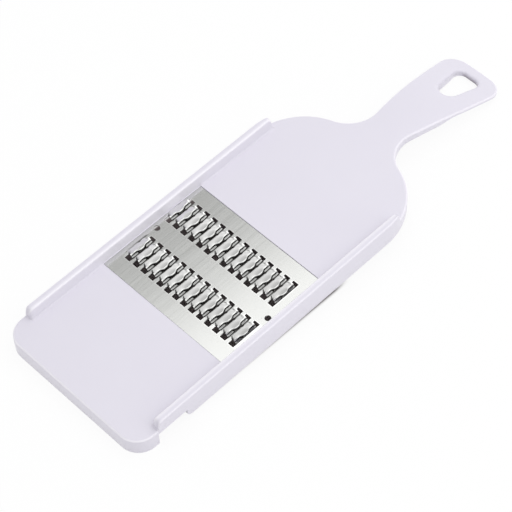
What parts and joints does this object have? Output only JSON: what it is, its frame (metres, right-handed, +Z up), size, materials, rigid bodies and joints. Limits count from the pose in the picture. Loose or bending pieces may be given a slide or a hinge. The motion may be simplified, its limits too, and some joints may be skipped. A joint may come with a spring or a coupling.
{
  "type": "hand shredder board",
  "caption": "Moulded paddle board with side rails, a hooked front foot and a drooping handle, holding a punched steel shredding plate with two rows of raised teeth.",
  "frame": {"origin": "on the ground under the middle of the board, which stands on its front foot and the end of its handle", "axes": "+X across the board to the right, +Y from the front edge to the handle, +Z up"},
  "size_m": [0.094, 0.2916, 0.0223],
  "materials": {
    "moulding": "satin, off-white with a slight lilac cast",
    "steel": "bright rolled stainless sheet"
  },
  "bodies": {
    "root": {"board": "moulding", "shredding_plate": "steel"}
  },
  "joints": []
}
